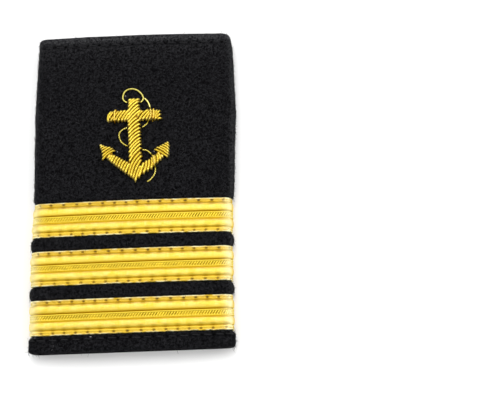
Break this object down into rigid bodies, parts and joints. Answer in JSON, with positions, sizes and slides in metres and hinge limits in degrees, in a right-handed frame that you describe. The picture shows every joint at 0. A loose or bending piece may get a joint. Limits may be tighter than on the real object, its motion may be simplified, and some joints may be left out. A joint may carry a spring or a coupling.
{
  "type": "slip-on shoulder board",
  "caption": "Flat felt sleeve that slides over a shoulder strap, with three wrapped gold lace stripes and a raised gold wire anchor on its upper panel.",
  "frame": {"origin": "middle of the board's footprint, on the surface that its back lies on", "axes": "+X across the board to its right seen from the front, +Y along it to the neck end, +Z out of its front"},
  "size_m": [0.06, 0.092, 0.0117],
  "materials": {
    "felt": "matt felted wool with a short fuzz",
    "gold_lace": "shiny woven metal thread",
    "bullion": "polished gold bullion wire",
    "gold_wire": "pale gilt wire"
  },
  "bodies": {
    "root": {"cloth_sleeve": "felt", "lace_stripe_bottom": "gold_lace", "lace_stripe_middle": "gold_lace", "lace_stripe_top": "gold_lace", "anchor_shank": "bullion", "anchor_stock_left": "bullion", "anchor_stock_right": "bullion", "anchor_arms": "bullion", "anchor_fluke_left": "bullion", "anchor_fluke_right": "bullion", "anchor_ring": "gold_wire", "anchor_band_left": "gold_wire", "anchor_band_right": "gold_wire", "anchor_rope_upper": "gold_wire", "anchor_rope_left": "gold_wire", "anchor_rope_lower": "gold_wire"}
  },
  "joints": []
}
